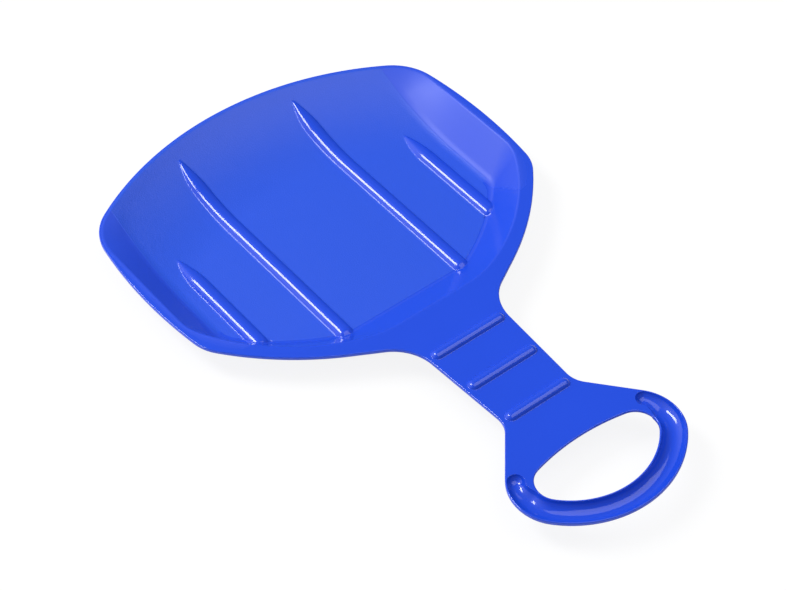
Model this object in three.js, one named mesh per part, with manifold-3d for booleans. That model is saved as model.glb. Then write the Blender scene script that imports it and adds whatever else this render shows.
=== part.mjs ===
// Snow slider: a small sled that is one moulded polyethylene shell.
// Millimetres, +Z up. The handle points to -Y, the rear of the seat pan to +Y.
// The origin lies under the middle of the shell's box, on the surface that the pan rests on.
import * as THREE from 'three';
import { mergeVertices } from 'three/addons/utils/BufferGeometryUtils.js';
import Module from 'manifold-3d';

const wasm = await Module();
wasm.setup();

// The shell
const LENGTH = 594;
const WALL = 2.5;
const PAN_DEPTH = 28;
const LIP_DEPTH = 3.5;
const EDGE_RADIUS = 1.2;
const OVERLAP = 1;
const SAME_PLACE = 0.01;

// Outline of the seat pan
const SIDE_HALF_WIDTH = 193.3;
const SIDE_RADIUS = 477;
const SIDE_Y = 139.5;
const REAR_RADIUS = 307;
const REAR_CORNER_RADIUS = 53.5;
const FRONT_CORNER_RADIUS = 42;
const SHOULDER_BULGE = 106.7;
const SHOULDER_X = 91.4;
const SHOULDER_Y = -23;
const SHOULDER_ANGLE = THREE.MathUtils.degToRad(29.2);

// Outline of the neck and of the grip
const NECK_HALF_WIDTH = 41.1;
const NECK_Y = -113.6;
const NECK_TAPER = THREE.MathUtils.degToRad(3.3);
const NECK_ROOT_RADIUS = 44;
const FLARE_X = 57.7;
const FLARE_Y = -185.4;
const FLARE_ANGLE = THREE.MathUtils.degToRad(-49.4);
const FLARE_ROOT_RADIUS = 23.1;
const GRIP_CORNER_RADIUS = 42.3;
const GRIP_RADIUS = 101.6;
const GRIP_BAND = 23.6;
const HAND_TOP_Y = -211;

// Hollow of the seat pan: its top line, and the foot line where wall meets floor. In front both are an arc
// that a short bend leads into a straight chord.
const REAR_FLANGE = 4;
const SIDE_FLANGE = 9;
const SIDE_WALL_RUN = 28.3;
const TOP_HALF_WIDTH = SIDE_HALF_WIDTH - SIDE_FLANGE;
const TOP_REAR_CORNER_RADIUS = 48;
const TOP_FRONT_CORNER_RADIUS = 50;
const TOP_FRONT_Y = -28.3;
const TOP_FRONT_BULGE = 19.2;
const TOP_CHORD_Y = -20.9;
const TOP_CHORD_BEND_RADIUS = 100;
const FOOT_REAR_MARGIN = 10;
const FOOT_HALF_WIDTH = TOP_HALF_WIDTH - SIDE_WALL_RUN;
const FOOT_REAR_CORNER_RADIUS = 40;
const FOOT_FRONT_CORNER_RADIUS = 15;
const FOOT_FRONT_X = -40;
const FOOT_FRONT_Y = -6.5;
const FOOT_FRONT_BULGE = 108.5;
const FOOT_CHORD_Y = 16;
const FOOT_CHORD_BEND_RADIUS = 40;
const FOOT_FILLET_SHARE = 0.13;
const REAR_RISE_RUN = 95;
const FLOOR_MIDDLE_Y = 150;
const FLOOR_RING_SHARES = [0.9, 0.8, 0.7, 0.6, 0.3];

// Stiffening ribs raised on the pan floor
const RIB_RADIUS = 13.4;
const RIB_HEIGHT = 4.6;
const RIB_END_RUN = 9;
const SHORT_RIB_MARGIN = 24.3;
const LONG_RIB = { x: 66, front: 12.5, rear: 276, fade: 85 };
const SHORT_RIB = { x: FOOT_HALF_WIDTH - SHORT_RIB_MARGIN, front: 49, rear: 183, fade: 65 };

// Foot ridges across the neck
const RIDGE_RADIUS = 6.3;
const RIDGE_HEIGHT = 3.6;
const RIDGE_END_RUN = 5.5;
const RIDGE_MARGIN = 3.2;
const RIDGE_FIRST_Y = -69.2;
const RIDGE_PITCH = 45.4;
const RIDGE_COUNT = 3;

// Finger trough in the grip
const TROUGH_RADIUS = 10.6;
const TROUGH_DEPTH = 8;
const TROUGH_END_RUN = 8;
const TROUGH_NARROWING_SHARE = 0.27;
const TROUGH_NARROWING_RUN = 27;
const TROUGH_START = THREE.MathUtils.degToRad(50);

// Half of a wall's thickness, where a raised piece is rooted in the plate that carries it
const ROOT = WALL / 2;

// How finely round stretches are divided
const LARGE_ARC_STEPS = 10;
const CORNER_STEPS = 6;
const SIDE_STEPS = 5;
const BEND_STEPS = 2;
const CHORD_STEPS = 3;
const SECTION_STEPS = 8;
const CAP_STEPS = 4;
const RIB_STEPS = 10;
const TROUGH_STEPS = 7;
const BEVEL_STEPS = 2;

const HALF_TURN = Math.PI;
const QUARTER_TURN = Math.PI / 2;
const RIM_Z = PAN_DEPTH + WALL;
const REAR_Y = LENGTH / 2;
const TIP_Y = -LENGTH / 2;

const point = (x, y) => new THREE.Vector2(x, y);

function bearing(from, to) {
  return Math.atan2(to.y - from.y, to.x - from.x);
}

function onCircle(centre, radius, angle) {
  return point(centre.x + radius * Math.cos(angle), centre.y + radius * Math.sin(angle));
}

// Where two circles meet, on the left (1) or the right (-1) of the line between their centres
function meeting(a, radiusA, b, radiusB, side) {
  const line = b.clone().sub(a);
  const apart = line.length();
  const along = (radiusA ** 2 - radiusB ** 2 + apart ** 2) / (2 * apart);
  const across = Math.sqrt(Math.max(radiusA ** 2 - along ** 2, 0));
  line.divideScalar(apart);
  return a.clone().addScaledVector(line, along).add(point(-line.y, line.x).multiplyScalar(side * across));
}

// Where a line through a point, at a bearing, leaves a circle (1) or enters it (-1)
function lineMeeting(start, angle, centre, radius, side) {
  const direction = onCircle(point(0, 0), 1, angle);
  const offset = start.clone().sub(centre);
  const half = offset.dot(direction);
  const reach = Math.sqrt(Math.max(half ** 2 - offset.lengthSq() + radius ** 2, 0));
  return start.clone().addScaledVector(direction, side * reach - half);
}

// Where two lines meet, each given by a point and a bearing
function linesMeeting(a, angleA, b, angleB) {
  const gap = b.clone().sub(a);
  const reach = (gap.x * Math.sin(angleB) - gap.y * Math.cos(angleB)) / Math.sin(angleB - angleA);
  return onCircle(a, reach, angleA);
}

// An arc of an outline: bend is 1 where the shell bulges and -1 where it is drawn in
function arc(centre, radius, from, to, steps, bend = 1) {
  return { centre, radius, from, to, steps, bend };
}

// Points of a run of arcs, moved inwards by an inset. Straight stretches join the arcs.
function arcPoints(arcs, inset = 0) {
  const points = [];
  for (const { centre, radius, from, to, steps, bend } of arcs) {
    for (let i = 0; i <= steps; i++) {
      points.push(onCircle(centre, radius - bend * inset, from + ((to - from) * i) / steps));
    }
  }
  return points.filter((p, i) => i === 0 || p.distanceTo(points[i - 1]) > SAME_PLACE);
}

function linePoints(from, to, steps) {
  return Array.from({ length: steps - 1 }, (_, i) => from.clone().lerp(to, (i + 1) / steps));
}

// A closed loop from its right half, which runs from the rear middle to the front middle
function mirrored(half) {
  const left = half.slice(1, -1).reverse();
  return [...half, ...left.map((p) => point(-p.x, p.y))];
}

// Arcs of the right half of the outline, from the rear middle to the tip of the grip
const rearCentre = point(0, REAR_Y - REAR_RADIUS);
const sideCentre = point(SIDE_HALF_WIDTH - SIDE_RADIUS, SIDE_Y);
const rearCorner = meeting(
  rearCentre, REAR_RADIUS - REAR_CORNER_RADIUS, sideCentre, SIDE_RADIUS - REAR_CORNER_RADIUS, -1);

// The shoulder's arc ends in a straight that leads to the root of the neck
const shoulderEnd = point(SHOULDER_X, SHOULDER_Y);
const shoulderNormal = SHOULDER_ANGLE - QUARTER_TURN;
const shoulderRadius = SIDE_HALF_WIDTH + SHOULDER_BULGE;
const shoulderCentre = onCircle(shoulderEnd, -shoulderRadius, shoulderNormal);
const frontCorner = meeting(
  shoulderCentre, shoulderRadius - FRONT_CORNER_RADIUS, sideCentre, SIDE_RADIUS - FRONT_CORNER_RADIUS, 1);

const neckPoint = point(NECK_HALF_WIDTH, NECK_Y);
const neckNormal = -NECK_TAPER;
const neckRoot = linesMeeting(
  onCircle(neckPoint, NECK_ROOT_RADIUS, neckNormal), QUARTER_TURN - NECK_TAPER,
  onCircle(shoulderEnd, NECK_ROOT_RADIUS, shoulderNormal), SHOULDER_ANGLE);

const flarePoint = point(FLARE_X, FLARE_Y);
const flareNormal = FLARE_ANGLE + QUARTER_TURN;
const flareRoot = linesMeeting(
  onCircle(neckPoint, FLARE_ROOT_RADIUS, neckNormal), QUARTER_TURN - NECK_TAPER,
  onCircle(flarePoint, FLARE_ROOT_RADIUS, flareNormal), FLARE_ANGLE);

const gripCentre = point(0, TIP_Y + GRIP_RADIUS);
const gripCorner = lineMeeting(
  onCircle(flarePoint, -GRIP_CORNER_RADIUS, flareNormal), FLARE_ANGLE,
  gripCentre, GRIP_RADIUS - GRIP_CORNER_RADIUS, 1);
const gripTurn = bearing(gripCentre, gripCorner);

const outline = [
  arc(rearCentre, REAR_RADIUS, QUARTER_TURN, bearing(rearCentre, rearCorner), LARGE_ARC_STEPS),
  arc(rearCorner, REAR_CORNER_RADIUS,
    bearing(rearCentre, rearCorner), bearing(sideCentre, rearCorner), CORNER_STEPS),
  arc(sideCentre, SIDE_RADIUS,
    bearing(sideCentre, rearCorner), bearing(sideCentre, frontCorner), SIDE_STEPS),
  arc(frontCorner, FRONT_CORNER_RADIUS,
    bearing(sideCentre, frontCorner), bearing(shoulderCentre, frontCorner), CORNER_STEPS),
  arc(shoulderCentre, shoulderRadius,
    bearing(shoulderCentre, frontCorner), shoulderNormal, LARGE_ARC_STEPS),
  arc(neckRoot, NECK_ROOT_RADIUS,
    HALF_TURN + shoulderNormal, HALF_TURN + neckNormal, CORNER_STEPS, -1),
  arc(flareRoot, FLARE_ROOT_RADIUS,
    HALF_TURN + neckNormal, HALF_TURN + flareNormal, CORNER_STEPS, -1),
  arc(gripCorner, GRIP_CORNER_RADIUS, flareNormal, gripTurn, LARGE_ARC_STEPS),
  arc(gripCentre, GRIP_RADIUS, gripTurn, -QUARTER_TURN, LARGE_ARC_STEPS),
];

// The hand opening keeps the grip's width to the outline. A bowed edge closes it towards the neck.
const handCorner = GRIP_CORNER_RADIUS - GRIP_BAND;
const handDrop = HAND_TOP_Y - gripCorner.y;
const bowRadius = (gripCorner.x ** 2 + handDrop ** 2 - handCorner ** 2) / (2 * (handDrop - handCorner));
const bowCentre = point(0, HAND_TOP_Y - bowRadius);
const handOpening = [
  arc(bowCentre, bowRadius, QUARTER_TURN, bearing(bowCentre, gripCorner), CORNER_STEPS),
  arc(gripCorner, handCorner, bearing(bowCentre, gripCorner), gripTurn, LARGE_ARC_STEPS),
  arc(gripCentre, GRIP_RADIUS - GRIP_BAND, gripTurn, -QUARTER_TURN, LARGE_ARC_STEPS),
];

// A loop round the pan. Its right half is a rear arc, a corner, a straight side, a corner, an arc in front
// that has its lowest point at frontX and frontY, a bend, and a straight chord to the middle.
function panLoop({
  rearRadius, rearCornerRadius, halfWidth, frontCornerRadius,
  frontX, frontY, frontRadius, chordY, bendRadius,
}) {
  const frontCentre = point(frontX, frontY + frontRadius);
  const rear = lineMeeting(
    point(halfWidth - rearCornerRadius, REAR_Y), -QUARTER_TURN,
    rearCentre, rearRadius - rearCornerRadius, -1);
  const front = lineMeeting(
    point(halfWidth - frontCornerRadius, frontCentre.y), -QUARTER_TURN,
    frontCentre, frontRadius - frontCornerRadius, 1);
  const bend = lineMeeting(
    point(frontX, chordY + bendRadius), 0, frontCentre, frontRadius - bendRadius, 1);
  const rearTurn = bearing(rearCentre, rear);
  const frontTurn = bearing(frontCentre, front);
  const bendTurn = bearing(frontCentre, bend);
  const middle = point(0, chordY);
  return mirrored([
    ...arcPoints([
      arc(rearCentre, rearRadius, QUARTER_TURN, rearTurn, LARGE_ARC_STEPS),
      arc(rear, rearCornerRadius, rearTurn, 0, CORNER_STEPS),
    ]),
    ...linePoints(point(halfWidth, rear.y), point(halfWidth, front.y), SIDE_STEPS),
    ...arcPoints([
      arc(front, frontCornerRadius, 0, frontTurn, CORNER_STEPS),
      arc(frontCentre, frontRadius, frontTurn, bendTurn, LARGE_ARC_STEPS),
      arc(bend, bendRadius, bendTurn, -QUARTER_TURN, BEND_STEPS),
    ]),
    ...linePoints(point(bend.x, chordY), middle, CHORD_STEPS),
    middle,
  ]);
}

const topLoop = panLoop({
  rearRadius: REAR_RADIUS - REAR_FLANGE,
  rearCornerRadius: TOP_REAR_CORNER_RADIUS,
  halfWidth: TOP_HALF_WIDTH,
  frontCornerRadius: TOP_FRONT_CORNER_RADIUS,
  frontX: 0,
  frontY: TOP_FRONT_Y,
  frontRadius: TOP_HALF_WIDTH + TOP_FRONT_BULGE,
  chordY: TOP_CHORD_Y,
  bendRadius: TOP_CHORD_BEND_RADIUS,
});
const footLoop = panLoop({
  rearRadius: REAR_RADIUS - REAR_FLANGE - FOOT_REAR_MARGIN,
  rearCornerRadius: FOOT_REAR_CORNER_RADIUS,
  halfWidth: FOOT_HALF_WIDTH,
  frontCornerRadius: FOOT_FRONT_CORNER_RADIUS,
  frontX: FOOT_FRONT_X,
  frontY: FOOT_FRONT_Y,
  frontRadius: FOOT_HALF_WIDTH + FOOT_FRONT_BULGE,
  chordY: FOOT_CHORD_Y,
  bendRadius: FOOT_CHORD_BEND_RADIUS,
});

// The loop's outward normals in plan
function normals(loop) {
  return loop.map((_, i) => {
    const before = loop.at(i - 1);
    const after = loop[(i + 1) % loop.length];
    return point(before.y - after.y, after.x - before.x).normalize();
  });
}

const topNormals = normals(topLoop);

// Height of the pan floor: flat, and rising to the rim in a hollow curve near the rear edge
function floorZ(x, y) {
  const inside = REAR_RADIUS - REAR_FLANGE - point(x, y).distanceTo(rearCentre);
  const climb = Math.max(1 - inside / REAR_RISE_RUN, 0);
  return WALL + PAN_DEPTH * climb ** 2;
}

const at = (p, z) => new THREE.Vector3(p.x, p.y, z);

// The rings of the pan's upper face from the flange to the middle, moved out and down for the lower face
function panRings(out, down) {
  const foot = footLoop.map((p) => at(p, floorZ(p.x, p.y)));
  const top = topLoop.map((p) => at(p, RIM_Z));
  const wall = foot.map((p, i) => p.clone().lerp(top[i], FOOT_FILLET_SHARE));
  const fillet = footLoop.map((p, i) => {
    const reach = p.distanceTo(topLoop[i]) * FOOT_FILLET_SHARE;
    const inner = p.clone().addScaledVector(topNormals[i], -reach);
    return at(inner, floorZ(inner.x, inner.y));
  });
  const bend = foot.map((p, i) => wall[i].clone().add(fillet[i]).divideScalar(2).lerp(p, 1 / 2));
  const shift = topNormals.map((n) => new THREE.Vector3(out * n.x, out * n.y, -down));
  const sloped = [top, wall, bend, fillet].map((ring) => ring.map((p, i) => p.clone().add(shift[i])));
  const flange = topLoop.map((p, i) =>
    at(p.clone().addScaledVector(topNormals[i], 2 * OVERLAP), RIM_Z - down));
  const middle = point(0, FLOOR_MIDDLE_Y);
  const level = [...FLOOR_RING_SHARES, 0].map((share) =>
    fillet.map((p) => {
      const q = middle.clone().lerp(p, share);
      return at(q, floorZ(q.x, q.y) - down);
    }));
  return [flange, ...sloped, ...level];
}

// A closed body woven from rows of points, each row a closed loop. Rows that shrink to a point close its
// ends, or wrap joins the last row to the first.
function woven(rows, wrap = false) {
  const size = rows[0].length;
  const index = [];
  const last = wrap ? rows.length : rows.length - 1;
  for (let i = 0; i < last; i++) {
    for (let j = 0; j < size; j++) {
      const a = i * size + j;
      const b = i * size + ((j + 1) % size);
      const c = ((i + 1) % rows.length) * size + ((j + 1) % size);
      const d = ((i + 1) % rows.length) * size + j;
      index.push(a, d, c, a, c, b);
    }
  }
  const geometry = new THREE.BufferGeometry().setFromPoints(rows.flat());
  geometry.setIndex(index);
  return geometry;
}

// A three.js geometry as a solid: its vertices merged and its empty triangles left out
function solid(geometry) {
  const plain = geometry.clone();
  plain.deleteAttribute('normal');
  plain.deleteAttribute('uv');
  const merged = mergeVertices(plain);
  const corners = merged.index.array;
  const triVerts = [];
  for (let i = 0; i < corners.length; i += 3) {
    const [a, b, c] = corners.slice(i, i + 3);
    if (a !== b && b !== c && c !== a) triVerts.push(a, b, c);
  }
  return new wasm.Manifold(new wasm.Mesh({
    numProp: 3,
    vertProperties: merged.attributes.position.array,
    triVerts: new Uint32Array(triVerts),
  }));
}

// An upright prism on a closed loop, with round edges where a radius is given
function prism(loop, low, high, radius = 0) {
  const geometry = new THREE.ExtrudeGeometry(new THREE.Shape(loop), {
    depth: high - low - 2 * radius,
    bevelEnabled: radius > 0,
    bevelThickness: radius,
    bevelSize: radius,
    bevelOffset: -radius,
    bevelSegments: BEVEL_STEPS,
  });
  return solid(geometry.translate(0, 0, low + radius));
}

// A bar with a round back, raised from a surface (sense 1) or sunk into it (sense -1). Its path lies in
// plan. Crowns and radii hold its height and its back's radius at each point of the path, and its root
// reaches the given depth below the surface.
function bar(path, crowns, radii, root, surface, sense) {
  const rows = path.map((centre, i) => {
    const radius = radii[i];
    const before = path[Math.max(i - 1, 0)];
    const after = path[Math.min(i + 1, path.length - 1)];
    const across = point(before.y - after.y, after.x - before.x).setLength(sense);
    const depth = Math.max(crowns[i] + root, 0);
    const half = Math.acos(1 - depth / radius);
    return Array.from({ length: SECTION_STEPS + 1 }, (_, k) => {
      const angle = half * ((2 * k) / SECTION_STEPS - 1);
      const p = centre.clone().addScaledVector(across, radius * Math.sin(angle));
      const lift = crowns[i] - radius * (1 - Math.cos(angle));
      return at(p, surface(p.x, p.y) + sense * (depth > 0 ? lift : -root));
    });
  });
  return solid(woven(rows));
}

// Places from 0 to 1 that crowd together towards a round end
function capShares(steps) {
  return Array.from({ length: steps + 1 }, (_, i) => 1 - Math.cos((QUARTER_TURN * i) / steps));
}

// Height of a round end at a distance from its tip
function roundEnd(distance, run, full, root) {
  const share = Math.min(Math.max(1 - distance / run, 0), 1);
  return (full + root) * Math.sqrt(1 - share ** 2) - root;
}

// A rib of the pan floor: blunt in front, and fading to a point at the rear, where it dips into the floor.
// The hollow below it keeps the wall.
function rib({ x, front, rear, fade }, side, hollow) {
  const inset = hollow ? ROOT : 0;
  const start = front + inset;
  const tip = rear - inset;
  const end = tip + RIB_END_RUN;
  const level = hollow ? WALL : 0;
  const cap = capShares(CAP_STEPS).map((share) => start + RIB_END_RUN * share);
  const body = Array.from({ length: RIB_STEPS }, (_, i) =>
    THREE.MathUtils.lerp(start + RIB_END_RUN, tip, (i + 1) / RIB_STEPS));
  const places = [...cap, ...body, end];
  const crowns = places.map((y) => {
    const height = RIB_HEIGHT * (1 - THREE.MathUtils.smoothstep(y, tip - fade, tip));
    return roundEnd(Math.min(y - start, end - y), RIB_END_RUN, height, ROOT);
  });
  return bar(
    places.map((y) => point(side * x, y)), crowns, places.map(() => RIB_RADIUS - level), ROOT,
    (px, py) => floorZ(px, py) - level, 1);
}

// A foot ridge across the neck, with round ends a margin inside the neck's edges
function ridge(place, hollow) {
  const level = hollow ? WALL : 0;
  const y = RIDGE_FIRST_Y - place * RIDGE_PITCH;
  const neck = NECK_HALF_WIDTH + (y - NECK_Y) * Math.tan(NECK_TAPER);
  const end = neck - RIDGE_MARGIN - (hollow ? ROOT : 0);
  const cap = capShares(CAP_STEPS).map((share) => RIDGE_END_RUN * share - end);
  const places = [...cap, ...cap.map((x) => -x).reverse()];
  const crowns = places.map((x) => roundEnd(end - Math.abs(x), RIDGE_END_RUN, RIDGE_HEIGHT, ROOT));
  return bar(
    places.map((x) => point(x, y)), crowns, places.map(() => RIDGE_RADIUS - level), ROOT,
    () => RIM_Z - level, 1);
}

// The finger trough follows the middle of the grip. Towards its ends it narrows and keeps to the outer edge
// of the grip. Its skin is the same form, one wall thicker.
function trough(skin) {
  const grow = skin ? WALL : 0;
  const root = skin ? -ROOT : OVERLAP;
  const middle = GRIP_BAND / 2;
  const early = grow / (GRIP_CORNER_RADIUS - middle);
  const half = arcPoints([
    arc(gripCorner, GRIP_CORNER_RADIUS, TROUGH_START + early, gripTurn, 2 * TROUGH_STEPS),
    arc(gripCentre, GRIP_RADIUS, gripTurn, -QUARTER_TURN, TROUGH_STEPS),
  ], middle);
  const centred = [...half, ...half.slice(0, -1).reverse().map((p) => point(-p.x, p.y))];
  const gone = [0];
  for (let i = 1; i < centred.length; i++) gone.push(gone[i - 1] + centred[i].distanceTo(centred[i - 1]));
  const ends = gone.map((s) => Math.min(s, gone.at(-1) - s));
  const narrowing = ends.map((s) =>
    TROUGH_NARROWING_SHARE * (1 - THREE.MathUtils.smoothstep(s, grow, TROUGH_NARROWING_RUN + grow)));
  const path = centred.map((p, i) => {
    const before = centred[Math.max(i - 1, 0)];
    const after = centred[Math.min(i + 1, centred.length - 1)];
    const out = point(before.y - after.y, after.x - before.x).setLength(TROUGH_RADIUS * narrowing[i]);
    return p.clone().add(out);
  });
  const crowns = ends.map((s, i) =>
    roundEnd(s, TROUGH_END_RUN + grow, TROUGH_DEPTH * (1 - narrowing[i]) + grow, root));
  const radii = narrowing.map((share) => TROUGH_RADIUS * (1 - share) + grow);
  return bar(path, crowns, radii, root, () => RIM_Z, -1);
}

const total = (solids) => solids.reduce((sum, next) => sum.add(next));

// Rim flange, neck and grip: a plate whose outer edge turns down in a lip
function rimPlate() {
  const edge = mirrored(arcPoints(outline));
  const inner = mirrored(arcPoints(outline, WALL));
  const hollow = topLoop.map((p, i) => p.clone().addScaledVector(topNormals[i], OVERLAP));
  const plate = prism(edge, RIM_Z - LIP_DEPTH - 2 * EDGE_RADIUS, RIM_Z, EDGE_RADIUS);
  const below = prism(inner, RIM_Z - 2 * LIP_DEPTH, RIM_Z - WALL);
  const trim = prism(edge, RIM_Z - 2 * LIP_DEPTH, RIM_Z - LIP_DEPTH);
  return plate.subtract(below).subtract(trim).subtract(prism(hollow, 0, RIM_Z + WALL));
}

// Seat pan: sloped walls at the sides and in front, and a floor that rises to the rear rim
function seatPan() {
  const slope = Math.atan2(PAN_DEPTH, SIDE_WALL_RUN);
  const upper = panRings(0, 0);
  const lower = panRings(WALL * Math.tan(slope / 2), WALL);
  return solid(woven([...upper, ...lower.reverse()], true));
}

// The grip's trough, as wide as the grip and cut off along its two edges
function gripTrough() {
  const edge = mirrored(arcPoints(outline));
  const band = prism(edge, 0, RIM_Z).subtract(prism(mirrored(arcPoints(handOpening)), -WALL, RIM_Z + WALL));
  return trough(true).intersect(band);
}

function sliderShell() {
  const ribs = [LONG_RIB, SHORT_RIB].flatMap((kind) => [-1, 1].map((side) => [kind, side]));
  const ridges = Array.from({ length: RIDGE_COUNT }, (_, place) => place);
  const raised = total([
    rimPlate(),
    seatPan(),
    ...ribs.map(([kind, side]) => rib(kind, side, false)),
    ...ridges.map((place) => ridge(place, false)),
    gripTrough(),
  ]);
  const hollows = total([
    ...ribs.map(([kind, side]) => rib(kind, side, true)),
    ...ridges.map((place) => ridge(place, true)),
    trough(false),
    prism(mirrored(arcPoints(handOpening)), 0, RIM_Z + WALL),
  ]);
  return raised.subtract(hollows);
}

// A solid as a named mesh with its own material
function mesh(name, body, material) {
  const { vertProperties, triVerts } = body.getMesh();
  const geometry = new THREE.BufferGeometry();
  geometry.setAttribute('position', new THREE.BufferAttribute(vertProperties, 3));
  geometry.setIndex(new THREE.BufferAttribute(triVerts, 1));
  geometry.computeVertexNormals();
  const made = new THREE.Mesh(geometry, material);
  made.name = name;
  return made;
}

const bluePolyethylene = new THREE.MeshStandardMaterial({
  color: new THREE.Color(0x2a50dc),
  roughness: 0.3,
  metalness: 0,
});

const slider = new THREE.Group();
slider.add(mesh('slider_shell', sliderShell(), bluePolyethylene));

export default slider;
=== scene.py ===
import math

import bmesh
import bpy
from mathutils import Matrix, Vector


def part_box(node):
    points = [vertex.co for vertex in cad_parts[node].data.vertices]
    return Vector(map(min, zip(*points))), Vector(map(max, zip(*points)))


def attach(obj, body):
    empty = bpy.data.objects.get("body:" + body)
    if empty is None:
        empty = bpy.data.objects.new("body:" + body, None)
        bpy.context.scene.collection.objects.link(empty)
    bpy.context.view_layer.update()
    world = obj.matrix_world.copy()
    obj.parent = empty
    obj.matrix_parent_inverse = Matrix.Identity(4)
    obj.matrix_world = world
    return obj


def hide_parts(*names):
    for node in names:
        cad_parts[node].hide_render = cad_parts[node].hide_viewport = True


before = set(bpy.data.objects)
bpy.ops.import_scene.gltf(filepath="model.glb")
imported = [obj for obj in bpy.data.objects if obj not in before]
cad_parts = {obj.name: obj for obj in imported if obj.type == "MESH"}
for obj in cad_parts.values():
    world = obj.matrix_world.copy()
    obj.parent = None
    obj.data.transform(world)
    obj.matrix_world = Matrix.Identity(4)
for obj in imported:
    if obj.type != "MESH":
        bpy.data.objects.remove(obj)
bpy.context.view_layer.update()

# The shell's driving sizes, in millimetres. Its length comes from the slider_shell part's box in model.glb.
MM = 0.001
low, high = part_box("slider_shell")
REAR_Y = high.y / MM
TIP_Y = low.y / MM
WALL = 2.5
PAN_DEPTH = 28
LIP_DEPTH = 3.5
EDGE_RADIUS = 1
LIP_EDGE_RADIUS = 0.6
RIM_Z = PAN_DEPTH + WALL

# Outline of the seat pan
SIDE_HALF_WIDTH = 193.3
SIDE_RADIUS = 477
SIDE_Y = 139.5
REAR_RADIUS = 307
REAR_CORNER_RADIUS = 53.5
FRONT_CORNER_RADIUS = 42
SHOULDER_RADIUS = 300
SHOULDER_X = 91.4
SHOULDER_Y = -23
SHOULDER_ANGLE = math.radians(29.2)

# Outline of the neck and of the grip
NECK_HALF_WIDTH = 41.1
NECK_Y = -113.6
NECK_TAPER = math.radians(3.3)
NECK_ROOT_RADIUS = 44
FLARE_X = 57.7
FLARE_Y = -185.4
FLARE_ANGLE = math.radians(-49.4)
FLARE_ROOT_RADIUS = 23.1
GRIP_CORNER_RADIUS = 42.3
GRIP_RADIUS = 101.6
GRIP_BAND = 23.6
GRIP_MIDDLE = GRIP_BAND / 2
HAND_TOP_Y = -211

# Hollow of the seat pan: its top line, and the foot line where wall meets floor
REAR_FLANGE = 4
TOP_HALF_WIDTH = 184.3
TOP_REAR_CORNER_RADIUS = 48
TOP_FRONT_CORNER_RADIUS = 50
TOP_FRONT_RADIUS = 203.5
TOP_FRONT_Y = -28.3
TOP_CHORD_Y = -20.9
TOP_CHORD_BEND_RADIUS = 100
FOOT_REAR_MARGIN = 10
FOOT_HALF_WIDTH = 156
FOOT_REAR_CORNER_RADIUS = 40
FOOT_FRONT_CORNER_RADIUS = 15
FOOT_FRONT_RADIUS = 264.5
FOOT_FRONT_X = -40
FOOT_FRONT_Y = -6.5
FOOT_CHORD_Y = 16
FOOT_CHORD_BEND_RADIUS = 40
FOOT_CORNER_Y = 88
SIDE_FILLET = 7
FRONT_FILLET = 3
TOP_FILLET = 1.6
REAR_RISE_RUN = 95

# Ribs of the floor, foot ridges of the neck and finger trough of the grip
ROOT = WALL / 2
RIB_RADIUS = 9.2
RIB_HEIGHT = 4.7
RIB_END_RUN = 9
RIB_BLEND = 0.6
RIB_TIP_RUN = 36
RIB_TIP_POWER = 0.8
RIBS = (
    {"x": 66, "front": 12.5, "tip": 273},
    {"x": 131.7, "front": 49, "tip": 183},
)
RIDGE_RADIUS = 6.3
RIDGE_HEIGHT = 3.6
RIDGE_MARGIN = 3.2
RIDGE_FIRST_Y = -69.2
RIDGE_PITCH = 45.4
RIDGE_COUNT = 3
RIDGE_FOOT = 0.9
TROUGH_RADIUS = 10.6
TROUGH_DEPTH = 8
TROUGH_RIM = 0.35
TROUGH_NARROWING_SHARE = 0.27
TROUGH_NARROWING_RUN = 20
TROUGH_START = math.radians(50)

# Where the finish changes: how far a wall faces sideways, and how high a rib has left the matte floor
SIDEWAYS_FROM = 0.75
SIDEWAYS_FULL = 0.95
GLOSS_LIFT = 0.3

# Counts of steps along the outlines, round the sections and down the walls
QUARTER = math.pi / 2
ROUND_STEPS = 4
PROFILE_STEPS = 10
REAR_STEPS = 40
REAR_CORNER_STEPS = 18
SIDE_STEPS = 24
FRONT_CORNER_STEPS = 22
FRONT_STEPS = 54
CHORD_BEND_STEPS = 10
CHORD_STEPS = 12
TROUGH_FRONT_STEPS = 42
TROUGH_CORNER_STEPS = 44
TROUGH_END_STEPS = 18
RIDGE_SIDE_STEPS = 8
RIDGE_END_STEPS = 16
LIP_TRIES = 40
WALL_SHARES = (0.25, 0.5, 0.75)

# Longest steps of an outline, and sizes of the cells that a face is cut into
ARC_STEP = 2
STRAIGHT_STEP = 6
PLATE_CELL = 13.3
GRIP_CELL = 1.6
NOSE_CELL = 1
NARROW = 0.8
WIDE = 6

# Cuts as (start, end, step) ranges. The floor's are finest at the ribs, and the wall's are at their noses.
FLOOR_CUTS_ACROSS = (
    (WIDE, 56, WIDE), (56, 76, NARROW), (76, 121, WIDE), (121, 142, NARROW), (142, 157, WIDE))
FLOOR_CUTS_ALONG = (
    (6, 30, NOSE_CELL), (30, 44, 3), (44, 66, NOSE_CELL), (66, 147, 4),
    (147, 184, 1.5), (184, 236, 4), (236, 274, 1.5), (274, 290, 4))
NOSE_CUTS = (
    {"across": (56, 76, NARROW), "along": (6, 30, NOSE_CELL)},
    {"across": (121, 142, NARROW), "along": (44, 66, NOSE_CELL)},
)
PLATE_CUTS_ACROSS = ((13, 190, PLATE_CELL),)
PLATE_CUTS_ALONG = ((-290, 290, PLATE_CELL),)
GRIP_CUTS_END_X = 90
GRIP_CUTS_END_Y = -185
GRIP_CUTS_MARGIN = 2

# Nearer than the first, points are merged. Nearer than the second, a point counts as on a cutting plane.
SAME_POINT = 0.0009
ON_PLANE = 0.0001


def plan(x, y):
    return Vector((x, y))


def on_circle(centre, radius, angle):
    return centre + radius * plan(math.cos(angle), math.sin(angle))


def bearing(start, end):
    return math.atan2(end.y - start.y, end.x - start.x)


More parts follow.
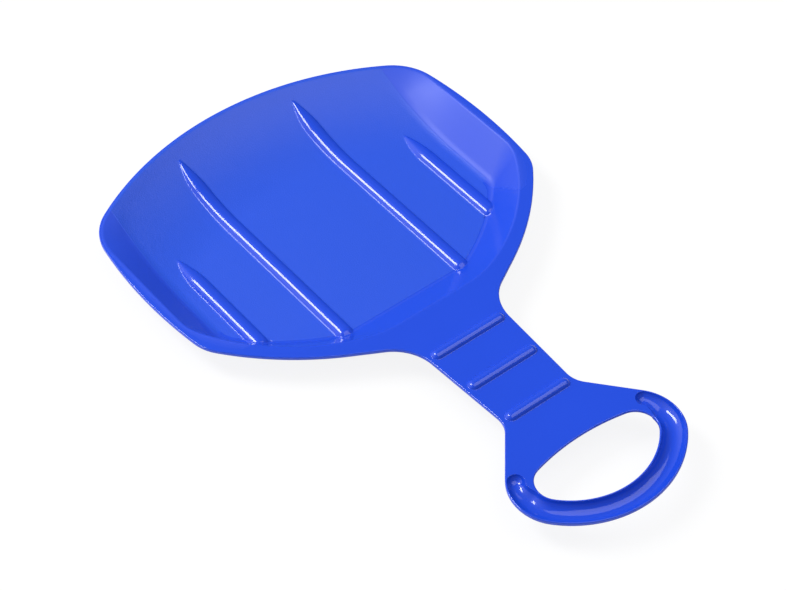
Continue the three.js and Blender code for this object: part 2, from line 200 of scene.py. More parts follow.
def meeting(a, radius_a, b, radius_b, side):
    """Where two circles meet, on the left (1) or the right (-1) of the line between their centres."""
    line = b - a
    apart = line.length
    along = (radius_a**2 - radius_b**2 + apart**2) / (2 * apart)
    across = math.sqrt(radius_a**2 - along**2)
    line.normalize()
    return a + along * line + side * across * plan(-line.y, line.x)


def line_meeting(start, angle, centre, radius, side):
    """Where a line through a point, at a bearing, leaves a circle (1) or enters it (-1)."""
    direction = on_circle(plan(0, 0), 1, angle)
    offset = start - centre
    half = offset.dot(direction)
    reach = math.sqrt(half**2 - offset.length_squared + radius**2)
    return start + (side * reach - half) * direction


def lines_meeting(a, angle_a, b, angle_b):
    gap = b - a
    reach = (gap.x * math.sin(angle_b) - gap.y * math.cos(angle_b)) / math.sin(angle_b - angle_a)
    return on_circle(a, reach, angle_a)


def run(arcs, inset=0):
    """Points along arcs (centre, radius, start, end, bend, steps), moved inwards. Straights join the arcs."""
    points = []
    before = None
    for centre, radius, start, end, bend, steps in arcs:
        steps = steps or max(round(abs(end - start) * radius / ARC_STEP), ROUND_STEPS)
        first = on_circle(centre, radius, start)
        gap = (first - before).length if points else 0
        if gap > ARC_STEP / 2:
            pieces = math.ceil(gap / STRAIGHT_STEP)
            a = points[-1]
            b = on_circle(centre, radius - bend * inset, start)
            points += [a.lerp(b, i / pieces) for i in range(1, pieces + 1)]
        turns = [start + (end - start) * i / steps for i in range(1 if points else 0, steps + 1)]
        points += [on_circle(centre, radius - bend * inset, turn) for turn in turns]
        before = on_circle(centre, radius, end)
    return points


rear_centre = plan(0, REAR_Y - REAR_RADIUS)
side_centre = plan(SIDE_HALF_WIDTH - SIDE_RADIUS, SIDE_Y)
shoulder_end = plan(SHOULDER_X, SHOULDER_Y)
shoulder_normal = SHOULDER_ANGLE - QUARTER
shoulder_centre = on_circle(shoulder_end, -SHOULDER_RADIUS, shoulder_normal)
rear_corner = meeting(
    rear_centre, REAR_RADIUS - REAR_CORNER_RADIUS,
    side_centre, SIDE_RADIUS - REAR_CORNER_RADIUS, -1)
front_corner = meeting(
    shoulder_centre, SHOULDER_RADIUS - FRONT_CORNER_RADIUS,
    side_centre, SIDE_RADIUS - FRONT_CORNER_RADIUS, 1)
neck_point = plan(NECK_HALF_WIDTH, NECK_Y)
neck_root = lines_meeting(
    on_circle(neck_point, NECK_ROOT_RADIUS, -NECK_TAPER), QUARTER - NECK_TAPER,
    on_circle(shoulder_end, NECK_ROOT_RADIUS, shoulder_normal), SHOULDER_ANGLE)
flare_point = plan(FLARE_X, FLARE_Y)
flare_normal = FLARE_ANGLE + QUARTER
flare_root = lines_meeting(
    on_circle(neck_point, FLARE_ROOT_RADIUS, -NECK_TAPER), QUARTER - NECK_TAPER,
    on_circle(flare_point, FLARE_ROOT_RADIUS, flare_normal), FLARE_ANGLE)
grip_centre = plan(0, TIP_Y + GRIP_RADIUS)
grip_corner = line_meeting(
    on_circle(flare_point, -GRIP_CORNER_RADIUS, flare_normal), FLARE_ANGLE,
    grip_centre, GRIP_RADIUS - GRIP_CORNER_RADIUS, 1)
grip_turn = bearing(grip_centre, grip_corner)

outline = (
    (rear_centre, REAR_RADIUS, QUARTER, bearing(rear_centre, rear_corner), 1, None),
    (rear_corner, REAR_CORNER_RADIUS,
     bearing(rear_centre, rear_corner), bearing(side_centre, rear_corner), 1, None),
    (side_centre, SIDE_RADIUS,
     bearing(side_centre, rear_corner), bearing(side_centre, front_corner), 1, None),
    (front_corner, FRONT_CORNER_RADIUS,
     bearing(side_centre, front_corner), bearing(shoulder_centre, front_corner), 1, None),
    (shoulder_centre, SHOULDER_RADIUS,
     bearing(shoulder_centre, front_corner), shoulder_normal, 1, None),
    (neck_root, NECK_ROOT_RADIUS, math.pi + shoulder_normal, math.pi - NECK_TAPER, -1, None),
    (flare_root, FLARE_ROOT_RADIUS, math.pi - NECK_TAPER, math.pi + flare_normal, -1, None),
    (grip_corner, GRIP_CORNER_RADIUS, flare_normal, grip_turn, 1, None),
    (grip_centre, GRIP_RADIUS, grip_turn, -QUARTER, 1, None),
)

hand_corner = GRIP_CORNER_RADIUS - GRIP_BAND
hand_drop = HAND_TOP_Y - grip_corner.y
bow_radius = (grip_corner.x**2 + hand_drop**2 - hand_corner**2) / (2 * (hand_drop - hand_corner))
bow_centre = plan(0, HAND_TOP_Y - bow_radius)
hand_opening = (
    (bow_centre, bow_radius, QUARTER, bearing(bow_centre, grip_corner), 1, None),
    (grip_corner, hand_corner, bearing(bow_centre, grip_corner), grip_turn, 1, None),
    (grip_centre, GRIP_RADIUS - GRIP_BAND, grip_turn, -QUARTER, 1, None),
)

# Each round end of the trough is narrower than its middle, and lies nearer the outer edge
TROUGH_CORNER_RADIUS = GRIP_CORNER_RADIUS - GRIP_MIDDLE
trough_half = math.sqrt(TROUGH_RADIUS**2 - (TROUGH_RADIUS - TROUGH_DEPTH) ** 2)
trough_shift = TROUGH_RADIUS * TROUGH_NARROWING_SHARE
end_half = trough_half * (1 - TROUGH_NARROWING_SHARE)
trough_turn = TROUGH_START - end_half / (TROUGH_CORNER_RADIUS + trough_shift)
trough_end = on_circle(grip_corner, TROUGH_CORNER_RADIUS + trough_shift, trough_turn)


def pan_half(rear_radius, rear_corner_radius, half_width, front_corner_radius,
             front_x, front_y, front_radius, chord_y, bend_radius):
    """Right half of a loop round the pan, from the rear middle to the front middle."""
    front_centre = plan(front_x, front_y + front_radius)
    rear = line_meeting(
        plan(half_width - rear_corner_radius, REAR_Y), -QUARTER,
        rear_centre, rear_radius - rear_corner_radius, -1)
    front = line_meeting(
        plan(half_width - front_corner_radius, front_centre.y), -QUARTER,
        front_centre, front_radius - front_corner_radius, 1)
    bend = line_meeting(
        plan(front_x, chord_y + bend_radius), 0, front_centre, front_radius - bend_radius, 1)
    rear_turn = bearing(rear_centre, rear)
    front_turn = bearing(front_centre, front)
    bend_turn = bearing(front_centre, bend)
    back = run((
        (rear_centre, rear_radius, QUARTER, rear_turn, 1, REAR_STEPS),
        (rear, rear_corner_radius, rear_turn, 0, 1, REAR_CORNER_STEPS)))
    ahead = run((
        (front, front_corner_radius, 0, front_turn, 1, FRONT_CORNER_STEPS),
        (front_centre, front_radius, front_turn, bend_turn, 1, FRONT_STEPS),
        (bend, bend_radius, bend_turn, -QUARTER, 1, CHORD_BEND_STEPS)))
    side = [back[-1].lerp(ahead[0], i / SIDE_STEPS) for i in range(1, SIDE_STEPS)]
    chord = [ahead[-1].lerp(plan(0, chord_y), i / CHORD_STEPS) for i in range(1, CHORD_STEPS + 1)]
    return back + side + ahead + chord


foot_loop = pan_half(
    REAR_RADIUS - REAR_FLANGE - FOOT_REAR_MARGIN, FOOT_REAR_CORNER_RADIUS,
    FOOT_HALF_WIDTH, FOOT_FRONT_CORNER_RADIUS,
    FOOT_FRONT_X, FOOT_FRONT_Y, FOOT_FRONT_RADIUS, FOOT_CHORD_Y, FOOT_CHORD_BEND_RADIUS)
top_loop = pan_half(
    REAR_RADIUS - REAR_FLANGE, TOP_REAR_CORNER_RADIUS,
    TOP_HALF_WIDTH, TOP_FRONT_CORNER_RADIUS,
    0, TOP_FRONT_Y, TOP_FRONT_RADIUS, TOP_CHORD_Y, TOP_CHORD_BEND_RADIUS)


def outward(loop):
    """Outward normals in plan of a half loop that crosses the middle at both ends."""
    full = [plan(-loop[1].x, loop[1].y)] + loop + [plan(-loop[-2].x, loop[-2].y)]
    around = zip(full, full[2:])
    return [plan(a.y - b.y, b.x - a.x).normalized() for a, b in around]


top_normals = outward(top_loop)


def smooth_max(a, b, blend):
    overlap = max(blend - abs(a - b), 0) / blend
    return max(a, b) + overlap**2 * blend / 4


def smooth_step(value, start, end):
    share = min(max((value - start) / (end - start), 0), 1)
    return share**2 * (3 - 2 * share)


def floor_z(p):
    """Height of the pan floor: flat, and rising to the rim in a hollow curve near the rear edge."""
    inside = REAR_RADIUS - REAR_FLANGE - (p - rear_centre).length
    climb = max(1 - inside / REAR_RISE_RUN, 0)
    return WALL + PAN_DEPTH * climb**2


def rib_lift(p, level):
    """How far the ribs stand above the floor at a place, a level down. Below zero beside them."""
    radius = RIB_RADIUS - level
    inset = ROOT if level else 0
    lift = -WALL
    for rib in RIBS:
        nose = p.y - rib["front"] - inset
        tail = rib["tip"] - inset - p.y
        if min(nose, tail) <= 0:
            continue
        size = math.sin(QUARTER * min(tail / RIB_TIP_RUN, 1)) ** RIB_TIP_POWER
        across = (abs(p.x) - rib["x"]) / size
        if abs(across) < radius:
            share = max(1 - nose / RIB_END_RUN, 0)
            crown = (RIB_HEIGHT + ROOT) * math.sqrt(1 - share**2) - ROOT
            lift = max(lift, (crown - radius + math.sqrt(radius**2 - across**2)) * size)
    return lift


def narrowing(turn):
    """Share by which the finger trough is narrower at a turn about the grip's corner."""
    gone = (trough_turn - turn) * TROUGH_CORNER_RADIUS
    return TROUGH_NARROWING_SHARE * (1 - smooth_step(gone, 0, TROUGH_NARROWING_RUN))


def grip_place(p):
    """Distance from the finger trough's middle line, and the trough's narrowing there."""
    angle = bearing(grip_corner, p)
    if grip_turn <= angle <= trough_turn:
        share = narrowing(angle)
        middle = TROUGH_CORNER_RADIUS + TROUGH_RADIUS * share
        return abs((p - grip_corner).length - middle), share
    if bearing(grip_centre, p) < grip_turn:
        return abs((p - grip_centre).length - GRIP_RADIUS + GRIP_MIDDLE), 0
    return (p - trough_end).length, TROUGH_NARROWING_SHARE


def under_z(p):
    """Height of the plate's lower face, with the skin of the finger trough."""
    d, share = grip_place(p)
    radius = TROUGH_RADIUS * (1 - share) + WALL
    if d >= radius:
        return RIM_Z - WALL
    skin = (TROUGH_RADIUS - TROUGH_DEPTH) * (1 - share) - math.sqrt(radius**2 - d**2)
    return RIM_Z - smooth_max(WALL, -skin, RIB_BLEND)


def fillet(a, corner, b, steps):
    """Points of a round corner between a and b, the ends included."""
    shares = [i / steps for i in range(steps + 1)]
    return [a.lerp(corner, t).lerp(corner.lerp(b, t), t) for t in shares]


def solid_point(p, z):
    return Vector((p.x, p.y, z))


def line_of(sheet, points):
    """New vertices along points, joined by edges."""
    verts = [sheet.verts.new(p * MM) for p in points]
    edges = [sheet.edges.new(pair) for pair in zip(verts, verts[1:])]
    return verts, edges


def sweep(sheet, line, rows):
    """Extrudes a line of edges from row to row. Each row gives every point its new place."""
    verts, edges = line
    for row in rows:
        moved = bmesh.ops.extrude_edge_only(sheet, edges=edges)["geom"]
        fresh = {item for item in moved if isinstance(item, bmesh.types.BMVert)}
        following = []
        for vert in verts:
            others = (edge.other_vert(vert) for edge in vert.link_edges)
            following.append(next(other for other in others if other in fresh))
        for vert, place in zip(following, row):
            vert.co = place * MM
        verts = following
        edges = [sheet.edges.get(pair) for pair in zip(verts, verts[1:])]
    return verts, edges


def dice(sheet, faces, axis, places):
    """Cuts faces along planes across an axis."""
    normal = Vector([float(i == axis) for i in range(3)])
    for place in places:
        verts = dict.fromkeys(v for f in faces for v in f.verts)
        edges = dict.fromkeys(e for f in faces for e in f.edges)
        cut = bmesh.ops.bisect_plane(
            sheet, geom=[*verts, *edges, *faces], dist=ON_PLANE * MM,
            plane_co=normal * place * MM, plane_no=normal)
        faces = [item for item in cut["geom"] if isinstance(item, bmesh.types.BMFace)]
    return faces


def stops(ranges):
    """Places from low to high in (start, end, step) ranges."""
    places = []
    for start, end, step in ranges:
        count = round((end - start) / step)
        places += [start + (end - start) * i / count for i in range(count)]
    return places


def ring_round(distance, rise, base):
    """A half ring at a distance from the trough's middle line, from its outer side to its inner side."""
    sides = []
    for side in (1, -1):
        points = []
        for i in range(TROUGH_FRONT_STEPS):
            turn = -QUARTER + (grip_turn + QUARTER) * i / TROUGH_FRONT_STEPS
            p = on_circle(grip_centre, GRIP_RADIUS - GRIP_MIDDLE + side * distance, turn)
            points.append(solid_point(p, base + rise))
        for i in range(TROUGH_CORNER_STEPS + 1):
            turn = grip_turn + (trough_turn - grip_turn) * i / TROUGH_CORNER_STEPS
            share = narrowing(turn)
            reach = TROUGH_CORNER_RADIUS + TROUGH_RADIUS * share + side * distance * (1 - share)
            points.append(solid_point(on_circle(grip_corner, reach, turn), base + rise * (1 - share)))
        sides.append(points)
    scale = 1 - TROUGH_NARROWING_SHARE
    turns = [trough_turn + math.pi * i / TROUGH_END_STEPS for i in range(1, TROUGH_END_STEPS)]
    cap = [solid_point(on_circle(trough_end, distance * scale, turn), base + rise * scale) for turn in turns]
    return sides[0] + cap + sides[1][::-1]


def ridge_ring(y, end, distance, rise, base):
    """A half ring round a foot ridge, from the front to the rear of its middle."""
    flat = [plan(end * i / RIDGE_SIDE_STEPS, y - distance) for i in range(RIDGE_SIDE_STEPS)]
    turns = [-QUARTER + math.pi * i / RIDGE_END_STEPS for i in range(RIDGE_END_STEPS + 1)]
    nose = [on_circle(plan(end, y), distance, turn) for turn in turns]
    back = [plan(p.x, 2 * y - p.y) for p in reversed(flat)]
    return [solid_point(p, base + rise) for p in flat + nose + back]


def profile(radius, height, foot):
    """Section of a round bar that stands a height above a face: distances and rises, from foot to crown."""
    sunk = radius - height
    centre = plan(math.sqrt((radius + foot) ** 2 - (sunk + foot) ** 2), foot)
    touch = math.atan2(centre.y + sunk, centre.x)
    section = []
    for i in range(ROUND_STEPS):
        p = on_circle(centre, foot, -QUARTER + (touch - QUARTER) * i / ROUND_STEPS)
        section.append((p.x, p.y))
    for i in range(PROFILE_STEPS + 1):
        p = on_circle(plan(0, -sunk), radius, touch + (QUARTER - touch) * i / PROFILE_STEPS)
        section.append((p.x if i < PROFILE_STEPS else 0, p.y))
    return section


def pan_rows(down):
    """Rows of the pan's upper face from the plate to the floor, or of its lower face one wall down."""
    slope = math.atan2(PAN_DEPTH, TOP_HALF_WIDTH - FOOT_HALF_WIDTH)
    out = down * math.tan(slope / 2)
    columns = []
    for foot, top, normal in zip(foot_loop, top_loop, top_normals):
        shift = solid_point(normal * out, -down)
        a = solid_point(top, RIM_Z)
        b = solid_point(foot, floor_z(foot))
        sideways = smooth_step(abs(normal.x), SIDEWAYS_FROM, SIDEWAYS_FULL)
        reach = FRONT_FILLET + (SIDE_FILLET - FRONT_FILLET) * sideways
        length = (a - b).length
        inner = foot - normal * reach
        begin = TOP_FILLET / length
        rounded = fillet(solid_point(top + normal * TOP_FILLET, RIM_Z), a, a.lerp(b, begin), ROUND_STEPS)
        slant = [a.lerp(b, begin + (1 - (TOP_FILLET + reach) / length) * s) for s in WALL_SHARES]
        heel = fillet(b.lerp(a, reach / length), b, solid_point(inner, floor_z(inner)), 2 * ROUND_STEPS)
        columns.append([p + shift for p in rounded + slant + heel])
    rows = [list(row) for row in zip(*columns)]
    for row in rows:
        row[0].x = 0
        row[-1].x = 0
    return rows


def seat(sheet, grain, satin, level):
    """Sweeps the pan's walls, lays its floor and raises the ribs. Returns the line at the plate."""
    rows = pan_rows(level)
    first = line_of(sheet, rows[0])
    old = set(sheet.faces)
    last, _ = sweep(sheet, first, rows[1:])
    walls = [f for f in sheet.faces if f not in old]
    for vert in last:
        vert.co.z = 0
    floor = dice(sheet, [sheet.faces.new(last)], 0, stops(FLOOR_CUTS_ACROSS))
    floor = dice(sheet, floor, 1, stops(FLOOR_CUTS_ALONG))
    for cuts in NOSE_CUTS:
        inner, outer, _ = cuts["across"]
        behind = cuts["along"][1]
        near = []
        for face in walls:
            spot = face.calc_center_median() / MM
            beside = inner - WIDE < spot.x < outer + WIDE
            if beside and spot.y < behind + 2 * WIDE and spot.z < RIM_Z - level - 2 * TOP_FILLET:
                near.append(face)
        near = dice(sheet, near, 0, stops((cuts["across"],)))
        dice(sheet, near, 1, stops((cuts["along"],)))
    wall_verts = {v for f in sheet.faces if f not in old and f not in set(floor) for v in f.verts}
    floor_verts = {v for f in floor if f.is_valid for v in f.verts}
    for vert in wall_verts | floor_verts:
        p = plan(vert.co.x, vert.co.y) / MM
        base = floor_z(p) - level
        z = base if vert in floor_verts else vert.co.z / MM
        lift = rib_lift(p, level)
        if lift > -WALL:
            z = smooth_max(z, base + lift, RIB_BLEND)
        vert.co.z = z * MM
        climb = vert.co.z / MM - base
        if vert not in floor_verts:
            vert[satin] = smooth_step(p.x, FOOT_HALF_WIDTH - SIDE_FILLET, FOOT_HALF_WIDTH)
        if vert not in floor_verts and (p.y < FOOT_CORNER_Y or climb > PAN_DEPTH / 2):
            vert[grain] = 0
        else:
            vert[grain] = 1 - smooth_step(lift, -GLOSS_LIFT, GLOSS_LIFT)
    return first


def ridges(sheet, radius, height, foot, base):
    """Sweeps the neck's foot ridges up from a face. Returns their lines at the face."""
    feet = []
    for place in range(RIDGE_COUNT):
        y = RIDGE_FIRST_Y - place * RIDGE_PITCH
        edge_x = NECK_HALF_WIDTH + (y - NECK_Y) * math.tan(NECK_TAPER)
        end = edge_x - RIDGE_MARGIN - RIDGE_RADIUS
        rings = [ridge_ring(y, end, d, rise, base) for d, rise in profile(radius, height, foot)]
        line = line_of(sheet, rings[0])
        sweep(sheet, line, rings[1:])
        feet.append(line)
    return feet


def plate_face(sheet, border, feet, pan):
    """The flat face between its border, the ridges' feet and the pan, still in one piece."""
    verts = list(border)
    for foot in reversed(feet):
        verts += foot[0]
    return sheet.faces.new(verts + pan[0][::-1])


def upper_sheet(sheet, grain, satin):
    pan = seat(sheet, grain, satin, 0)
    trough = profile(TROUGH_RADIUS, TROUGH_DEPTH, TROUGH_RIM)
    rings = [ring_round(d, -rise, RIM_Z) for d, rise in trough]
    grip = line_of(sheet, rings[0])
    sweep(sheet, grip, rings[1:])
    feet = ridges(sheet, RIDGE_RADIUS, RIDGE_HEIGHT, RIDGE_FOOT, RIM_Z)

    turns = [QUARTER * i / ROUND_STEPS for i in range(ROUND_STEPS + 1)]
    curl = [(EDGE_RADIUS * (1 - math.sin(t)), EDGE_RADIUS * (1 - math.cos(t))) for t in turns]
    lip_top = LIP_DEPTH - LIP_EDGE_RADIUS
    lip = [(LIP_EDGE_RADIUS * (1 - math.cos(t)), lip_top + LIP_EDGE_RADIUS * math.sin(t)) for t in turns]
    rows = [[solid_point(p, RIM_Z - drop) for p in run(outline, inset)] for inset, drop in curl + lip]
    edge = line_of(sheet, rows[0])
    sweep(sheet, edge, rows[1:])
    rows = [[solid_point(p, RIM_Z - drop) for p in run(hand_opening, -inset)] for inset, drop in curl]
    rows.append([solid_point(p, under_z(p) + LIP_EDGE_RADIUS) for p in run(hand_opening)])
    hand = line_of(sheet, rows[0])
    sweep(sheet, hand, rows[1:])

    plate = [plate_face(sheet, edge[0] + grip[0] + hand[0][::-1], feet, pan)]
    plate = dice(sheet, plate, 1, stops(PLATE_CUTS_ALONG))
    dice(sheet, plate, 0, stops(PLATE_CUTS_ACROSS))


def lower_sheet(sheet, grain, satin):
    pan = seat(sheet, grain, satin, WALL)
    feet = ridges(sheet, RIDGE_RADIUS - WALL, RIDGE_HEIGHT, RIDGE_FOOT / 2, RIM_Z - WALL)

    # The lip's inner face stands one wall inside the outline, or where the trough's skin meets the lip
    bottom = RIM_Z - LIP_DEPTH
    tries = [LIP_EDGE_RADIUS + (WALL - LIP_EDGE_RADIUS) * i / LIP_TRIES for i in range(LIP_TRIES + 1)]
    options = [run(outline, inset) for inset in tries]
    inner = []
    for choices in zip(*options):
        inner.append(next((p for p in choices if under_z(p) < bottom), choices[-1]))
    rows = [
        [solid_point(p, bottom) for p in run(outline, LIP_EDGE_RADIUS)],
        [solid_point(p, bottom) for p in inner],
        [solid_point(p, max(bottom, under_z(p))) for p in inner],
    ]
    outer = line_of(sheet, rows[0])
    edge = sweep(sheet, outer, rows[1:])

    # The hand opening's lower edge is a quarter circle, and its middle point stands this far in and up
    rise = LIP_EDGE_RADIUS * (1 - math.sqrt(0.5))
    rows = [
        [solid_point(p, under_z(p)) for p in run(hand_opening, -LIP_EDGE_RADIUS)],
        [solid_point(p, under_z(q) + rise) for p, q in zip(run(hand_opening, -rise), run(hand_opening))],
        [solid_point(p, under_z(p) + LIP_EDGE_RADIUS) for p in run(hand_opening)],
    ]
    hand = line_of(sheet, rows[0])
    sweep(sheet, hand, rows[1:])

    plate = plate_face(sheet, edge[0] + hand[0][::-1], feet, pan)
    old = set(sheet.faces) - {plate}
    fixed = set(plate.verts)
    faces = dice(sheet, [plate], 1, stops(PLATE_CUTS_ALONG))
    faces = dice(sheet, faces, 0, stops(PLATE_CUTS_ACROSS))
    faces = dice(sheet, faces, 1, stops(((TIP_Y + EDGE_RADIUS, GRIP_CUTS_END_Y, GRIP_CELL),)))
    last_y = GRIP_CUTS_END_Y - GRIP_CUTS_MARGIN
    faces = [f for f in faces if f.calc_center_median().y / MM < last_y]
    dice(sheet, faces, 0, stops(((GRIP_CELL, GRIP_CUTS_END_X, GRIP_CELL),)))
    for vert in {v for f in set(sheet.faces) - old for v in f.verts} - fixed:
        p = plan(vert.co.x, vert.co.y) / MM
        vert.co.z = (under_z(p) if p.y < GRIP_CUTS_END_Y else RIM_Z - WALL) * MM


# The skin: both sheets of the right half, mirrored and closed
shell = bmesh.new()
grain = shell.verts.layers.float.new("grain")
satin = shell.verts.layers.float.new("satin")
upper_sheet(shell, grain, satin)
lower_sheet(shell, grain, satin)
right_half = shell.verts[:] + shell.edges[:] + shell.faces[:]
bmesh.ops.mirror(shell, geom=right_half, axis="X", merge_dist=SAME_POINT * MM)
bmesh.ops.remove_doubles(shell, verts=shell.verts[:], dist=SAME_POINT * MM)
bmesh.ops.dissolve_degenerate(shell, edges=shell.edges[:], dist=SAME_POINT * MM)
bmesh.ops.recalc_face_normals(shell, faces=shell.faces[:])
open_edges = sum(len(edge.link_faces) != 2 for edge in shell.edges)
print("skin", len(shell.verts), "points", len(shell.faces), "faces", open_edges, "open edges")
mesh = bpy.data.meshes.new("slider_skin")
shell.to_mesh(mesh)
shell.free()
mesh.shade_smooth()
skin = bpy.data.objects.new("slider_skin", mesh)
bpy.context.scene.collection.objects.link(skin)
weighted = skin.modifiers.new("flat_plate", "WEIGHTED_NORMAL")
weighted.mode = "FACE_AREA"
weighted.weight = 100


class Value:
    """A socket of a finish, with its maths written as expressions."""

    def __init__(self, finish, socket):
        self.finish = finish
        self.socket = socket

    def maths(self, operation, a, b):
        return self.finish.node("ShaderNodeMath", {"operation": operation}, {0: a, 1: b})

    def __add__(self, other):
        return self.maths("ADD", self, other)

    def __rsub__(self, other):
        return self.maths("SUBTRACT", other, self)

    def __mul__(self, other):
        return self.maths("MULTIPLY", self, other)

    __radd__ = __add__


class Finish:
    """The nodes of a material or of the sky."""

    def __init__(self, holder):
        self.holder = holder
        holder.use_nodes = True
        self.tree = holder.node_tree
        self.tree.nodes.clear()

    def node(self, kind, settings=None, sockets=None, output=0):
        made = self.tree.nodes.new(kind)
        for name, value in (settings or {}).items():
            setattr(made, name, value)
        for name, value in (sockets or {}).items():
            if isinstance(value, Value):
                self.tree.links.new(value.socket, made.inputs[name])
            else:
                made.inputs[name].default_value = value
        return Value(self, made.outputs[output]) if len(made.outputs) else made

    def noise(self, place, scale, detail, roughness):
        return self.node("ShaderNodeTexNoise", sockets={
            "Vector": place, "Scale": scale, "Detail": detail, "Roughness": roughness})

    def blend(self, share, first, second):
        """A colour on the way from the first to the second. Sockets 6, 7 and output 2 are the colour ones."""
        return self.node("ShaderNodeMix", {"data_type": "RGBA"}, {"Factor": share, 6: first, 7: second}, 2)


# Polyethylene: its blues, its roughness and what each trait adds to it, and its relief in metres
DEEP_BLUE = (0.009, 0.054, 0.54, 1)
BRIGHT_BLUE = (0.011, 0.061, 0.60, 1)
FLOOR_BLUE = (0.012, 0.069, 0.565, 1)
GLOSS_ROUGHNESS = 0.07
MATTE_ROUGHNESS = 0.30
SATIN_ROUGHNESS = 0.4
RIPPLE_ROUGHNESS = 0.05
SPECKLE_CONTRAST = 0.5
SPECKLE_HEIGHT = 0.00022
RIPPLE_HEIGHT = 0.00006
MATTE_EDGE = 0.5
PLASTIC_IOR = 1.5


def polyethylene():
    """Blue moulded plastic: glossy, satin on the side walls, matte and grained on the floor."""
    finish = Finish(bpy.data.materials.new("blue_polyethylene_skin"))
    place = finish.node("ShaderNodeTexCoord", output="Object")
    floor = finish.node("ShaderNodeAttribute", {"attribute_name": "grain"}, output="Fac")
    parts = finish.node("ShaderNodeSeparateXYZ", sockets={0: place})
    side = finish.node("ShaderNodeMath", {"operation": "ABSOLUTE"}, {0: parts})
    within = finish.node("ShaderNodeMapRange", {"interpolation_type": "SMOOTHSTEP"}, {
        "Value": side, "To Min": 0.0, "To Max": 1.0,
        "From Min": (FOOT_HALF_WIDTH + MATTE_EDGE) * MM,
        "From Max": (FOOT_HALF_WIDTH - MATTE_EDGE) * MM})
    matte = floor * within
    wall = finish.node("ShaderNodeAttribute", {"attribute_name": "satin"}, output="Fac")
    speckle = finish.noise(place, scale=800.0, detail=3.0, roughness=0.6)
    ripple = finish.noise(place, scale=28.0, detail=2.0, roughness=0.45)
    cloud = finish.noise(place, scale=9.0, detail=3.0, roughness=0.5)
    shade = finish.blend(cloud, DEEP_BLUE, BRIGHT_BLUE)
    patchy = speckle * SPECKLE_CONTRAST + (1 - SPECKLE_CONTRAST / 2)
    tone = finish.blend(matte * patchy, shade, FLOOR_BLUE)
    height = matte * speckle * SPECKLE_HEIGHT + ripple * RIPPLE_HEIGHT
    bump = finish.node("ShaderNodeBump", sockets={"Strength": 1.0, "Distance": 1.0, "Height": height})
    roughness = GLOSS_ROUGHNESS + matte * MATTE_ROUGHNESS + ripple * RIPPLE_ROUGHNESS
    roughness = roughness + wall * (1 - matte) * SATIN_ROUGHNESS
    surface = finish.node("ShaderNodeBsdfPrincipled", sockets={
        "Base Color": tone, "Roughness": roughness, "Normal": bump, "IOR": PLASTIC_IOR})
    finish.node("ShaderNodeOutputMaterial", sockets={"Surface": surface})
    return finish.holder


mesh.materials.append(polyethylene())
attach(skin, "root")
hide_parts("slider_shell")

# Studio, in metres: a pale floor, a sky with a glow, a window to the back left and a panel overhead
STUDIO_RADIUS = 8
STUDIO_SIDES = 96
STUDIO_GAP = 0.0002
PAPER_DARK = (0.86, 0.86, 0.865, 1)
PAPER_LIGHT = (0.89, 0.89, 0.89, 1)
PAPER_WHITENESS = 0.88
WHITE = (1, 1, 1, 1)
SKY_COLOUR = (0.93, 0.96, 1, 1)
SKY_LEVEL = 0.22
SKY_GLOW = 1.45
SKY_GLOW_TOWARDS = Vector((-0.55, 0.70, 0.46)).normalized()
LIT_SPOT = Vector((0, 0.05, 0.02))


def paper():
    """Pale floor that the camera sees nearly white, that keeps the shadow, and that is clear from below."""
    finish = Finish(bpy.data.materials.new("studio_paper"))
    ray = finish.node("ShaderNodeLightPath", output="Is Camera Ray")
    fibres = finish.node("ShaderNodeTexNoise", sockets={"Scale": 40.0, "Detail": 3.0})
    matte = finish.node("ShaderNodeBsdfDiffuse", sockets={
        "Color": finish.blend(fibres, PAPER_DARK, PAPER_LIGHT)})
    white = finish.node("ShaderNodeEmission", sockets={"Color": WHITE, "Strength": 1.0})
    above = finish.node("ShaderNodeMixShader", sockets={0: ray * PAPER_WHITENESS, 1: matte, 2: white})
    below = finish.node("ShaderNodeNewGeometry", output="Backfacing")
    clear = finish.node("ShaderNodeBsdfTransparent")
    seen = finish.node("ShaderNodeMixShader", sockets={0: below, 1: above, 2: clear})
    finish.node("ShaderNodeOutputMaterial", sockets={"Surface": seen})
    return finish.holder


def sky():
    """An even sky with a soft broad glow towards the back left."""
    air = Finish(bpy.data.worlds.new("studio_sky"))
    direction = air.node("ShaderNodeTexCoord", output="Generated")
    facing = air.node("ShaderNodeVectorMath", {"operation": "DOT_PRODUCT"}, {
        0: direction, 1: SKY_GLOW_TOWARDS}, output="Value")
    lit = air.node("ShaderNodeMath", {"operation": "MAXIMUM"}, {0: facing, 1: 0.0})
    glow = lit * lit * lit * lit * SKY_GLOW
    back = air.node("ShaderNodeBackground", sockets={"Color": SKY_COLOUR, "Strength": glow + SKY_LEVEL})
    air.node("ShaderNodeOutputWorld", sockets={"Surface": back})
    return air.holder


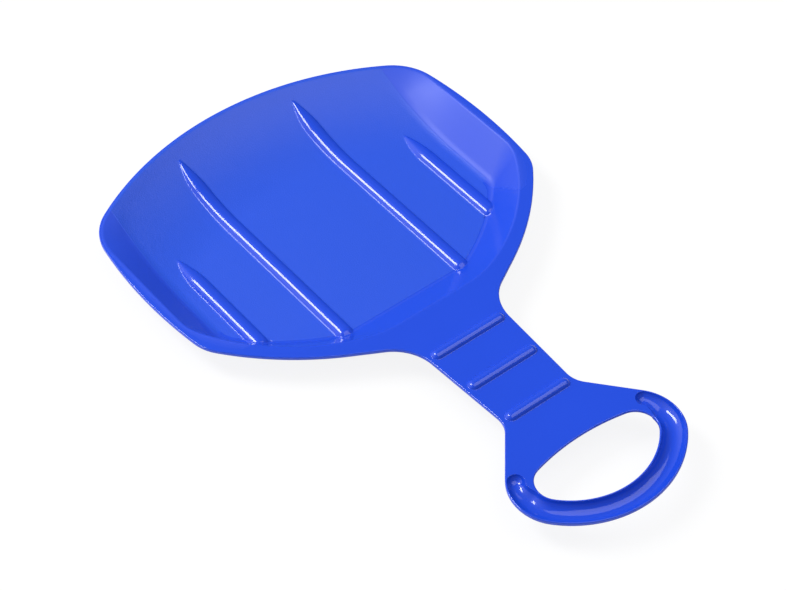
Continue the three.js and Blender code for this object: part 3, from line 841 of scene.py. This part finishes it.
def window(name, direction, distance, along, length, width, power):
    """A soft rectangular light, long in one direction, that faces the middle of the seat pan."""
    light = bpy.data.lights.new(name, "AREA")
    light.shape = "RECTANGLE"
    light.size = length
    light.size_y = width
    light.energy = power
    lamp = bpy.data.objects.new(name, light)
    away = Vector(direction).normalized()
    side = away.cross(Vector(along)).normalized()
    facing = Matrix((side.cross(away), side, away)).transposed().to_4x4()
    lamp.matrix_world = Matrix.Translation(LIT_SPOT + away * distance) @ facing
    bpy.context.scene.collection.objects.link(lamp)


ground = bmesh.new()
bmesh.ops.create_circle(ground, cap_ends=True, segments=STUDIO_SIDES, radius=STUDIO_RADIUS)
floor_mesh = bpy.data.meshes.new("studio_floor")
ground.to_mesh(floor_mesh)
ground.free()
floor_mesh.materials.append(paper())
studio_floor = bpy.data.objects.new("studio_floor", floor_mesh)
studio_floor.location.z = -STUDIO_GAP
bpy.context.scene.collection.objects.link(studio_floor)
bpy.context.scene.world = sky()
window("back_left_window", direction=(-0.40, 0.46, 0.79), distance=2.45,
       along=(0, 1, 0), length=1.15, width=0.72, power=46)
window("front_panel", direction=(0.26, -0.30, 0.92), distance=2.4,
       along=(1, 0, 0), length=2.6, width=1.9, power=29)

# The photograph's camera, fitted to the outline: angles in radians, aim and pixel size in metres,
# and its shift, focal length and width in the photograph's pixels
AZIMUTH = -0.6728
ELEVATION = 0.8262
AIM = Vector((0, -0.1137, 0.0305))
PIXEL = 0.00085
SHIFT_RIGHT = -108.2
SHIFT_UP = 71.1
FOCAL = 2186.4
PHOTO_WIDTH = 787
SENSOR = 36
FAR = 50
right = Vector((math.cos(AZIMUTH), math.sin(AZIMUTH), 0))
ahead = Vector((-math.sin(AZIMUTH), math.cos(AZIMUTH), 0))
up = ahead * math.sin(ELEVATION) + Vector((0, 0, math.cos(ELEVATION)))
back = right.cross(up)
eye = AIM + PIXEL * (SHIFT_RIGHT * right + SHIFT_UP * up + FOCAL * back)
lens = bpy.data.cameras.new("photo_camera")
lens.sensor_width = SENSOR
lens.sensor_fit = "HORIZONTAL"
lens.lens = FOCAL / PHOTO_WIDTH * SENSOR
lens.clip_end = FAR
camera = bpy.data.objects.new("photo_camera", lens)
camera.matrix_world = Matrix.Translation(eye) @ Matrix((right, up, back)).transposed().to_4x4()
bpy.context.scene.collection.objects.link(camera)
bpy.context.scene.camera = camera
bpy.context.scene.view_settings.view_transform = "Standard"


bpy.context.view_layer.update()
